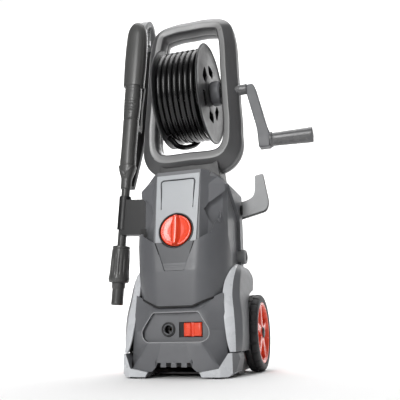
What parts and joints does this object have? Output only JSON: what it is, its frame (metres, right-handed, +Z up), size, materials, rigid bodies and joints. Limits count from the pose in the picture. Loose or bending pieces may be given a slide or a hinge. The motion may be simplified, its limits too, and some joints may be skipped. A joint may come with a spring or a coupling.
{
  "type": "pressure washer",
  "caption": "Upright wheeled electric pressure washer with a crank hose reel in a loop frame, a stored trigger gun and lance, a cord hook and a rotary switch.",
  "frame": {"origin": "on the floor, under the middle of the whole machine's outer box", "axes": "+Z up, -Y out of the front with the knob and the connection bay, +X towards the side with the reel's crank and the cord hook"},
  "size_m": [0.5328, 0.3144, 0.9834],
  "materials": {
    "frame_plastic": "satin warm dark grey",
    "body_plastic": "fine-grained satin cool grey",
    "silver_plastic": "satin silver grey",
    "black_plastic": "fine-grained",
    "orange_plastic": "semi-gloss",
    "hose_rubber": "semi-gloss",
    "tyre_rubber": "matte",
    "steel": "turned",
    "brass": "plain",
    "cast_alloy": "as cast"
  },
  "bodies": {
    "chassis": {"base_tray": "black_plastic", "base_front_cover": "body_plastic", "bay_panel": "body_plastic", "outlet_socket": "black_plastic", "bumper_right": "silver_plastic", "bumper_left": "silver_plastic", "foot_pad_right": "hose_rubber", "foot_pad_left": "hose_rubber", "side_wing_right": "silver_plastic", "side_wing_left": "silver_plastic", "wheel_axle": "steel", "tower_front_shell": "body_plastic", "tower_rear_shell": "body_plastic", "front_apron": "body_plastic", "control_panel": "silver_plastic", "panel_insert": "body_plastic", "knob_dish": "black_plastic", "power_switch": "black_plastic", "frame_front_half": "frame_plastic", "frame_rear_half": "frame_plastic", "frame_neck": "black_plastic", "reel_swivel_housing": "silver_plastic", "lance_holder": "black_plastic", "motor": "cast_alloy", "pump_gearcase": "cast_alloy", "pump_head": "cast_alloy", "outlet_pipe": "brass", "water_inlet": "silver_plastic", "inlet_hose": "hose_rubber"},
    "wheel_right": {"tyre_right": "tyre_rubber", "wheel_rim_right": "orange_plastic", "hub_cap_right": "black_plastic"},
    "wheel_left": {"tyre_left": "tyre_rubber", "wheel_rim_left": "orange_plastic", "hub_cap_left": "black_plastic"},
    "knob": {"rotary_knob": "orange_plastic"},
    "latch": {"slide_latch": "orange_plastic"},
    "rotor": {"motor_shaft": "steel", "cooling_fan": "black_plastic", "swash_plate": "steel"},
    "reel": {"reel_flange_left": "frame_plastic", "reel_flange_right": "frame_plastic", "reel_core": "frame_plastic", "reel_axle": "steel", "crank_arm": "body_plastic", "grip_pin": "steel", "hose_coil": "hose_rubber", "hose_tail": "hose_rubber"},
    "grip": {"crank_grip": "frame_plastic"},
    "hook": {"cord_hook": "silver_plastic"},
    "gun": {"gun_grip": "frame_plastic", "gun_barrel_housing": "frame_plastic", "gun_guard": "black_plastic", "gun_inlet": "steel", "lance_collar": "black_plastic", "lance_tube": "frame_plastic", "nozzle_tip": "frame_plastic", "trigger_pin": "steel"},
    "nozzle": {"nozzle_sleeve": "black_plastic"},
    "trigger": {"trigger_lever": "black_plastic"}
  },
  "joints": [
    {"name": "wheel_right_spin", "type": "hinge", "parent": "chassis", "child": "wheel_right", "pos_m": [0.09435, 0.06724, 0.09], "axis": [1, 0, 0], "continuous": true},
    {"name": "wheel_left_spin", "type": "hinge", "parent": "chassis", "child": "wheel_left", "pos_m": [-0.17565, 0.06724, 0.09], "axis": [1, 0, 0], "continuous": true},
    {"name": "knob_turn", "type": "hinge", "parent": "chassis", "child": "knob", "pos_m": [-0.04065, -0.13193, 0.316], "axis": [0, -0.9901, 0.1406], "range_deg": [-90, 0]},
    {"name": "latch_slide", "type": "slide", "parent": "chassis", "child": "latch", "axis": [-1, 0, 0], "range_m": [0, 0.011], "stiffness_N_per_m": 250},
    {"name": "motor_spin", "type": "hinge", "parent": "chassis", "child": "rotor", "pos_m": [-0.04065, -0.01676, 0.2], "axis": [0, 0, 1], "continuous": true},
    {"name": "reel_spin", "type": "hinge", "parent": "chassis", "child": "reel", "pos_m": [-0.04065, 0.00024, 0.696], "axis": [1, 0, 0], "continuous": true},
    {"name": "crank_grip_spin", "type": "hinge", "parent": "reel", "child": "grip", "pos_m": [0.19935, 0.00024, 0.552], "axis": [1, 0, 0], "continuous": true},
    {"name": "hook_turn", "type": "hinge", "parent": "chassis", "child": "hook", "pos_m": [0.07435, 0.04624, 0.389], "axis": [1, 0, 0], "range_deg": [0, 180]},
    {"name": "gun_lift_out", "type": "slide", "parent": "chassis", "child": "gun", "axis": [-0.9978, 0, 0.0663], "range_m": [0, 0.1]},
    {"name": "nozzle_twist", "type": "hinge", "parent": "gun", "child": "nozzle", "pos_m": [-0.23726, -0.00476, 0.26629], "axis": [0.0663, 0, 0.9978], "range_deg": [0, 90]},
    {"name": "trigger_squeeze", "type": "hinge", "parent": "gun", "child": "trigger", "pos_m": [-0.21254, 0.02124, 0.63847], "axis": [0.9978, 0, -0.0663], "range_deg": [0, 8], "stiffness_Nm_per_rad": 2}
  ]
}
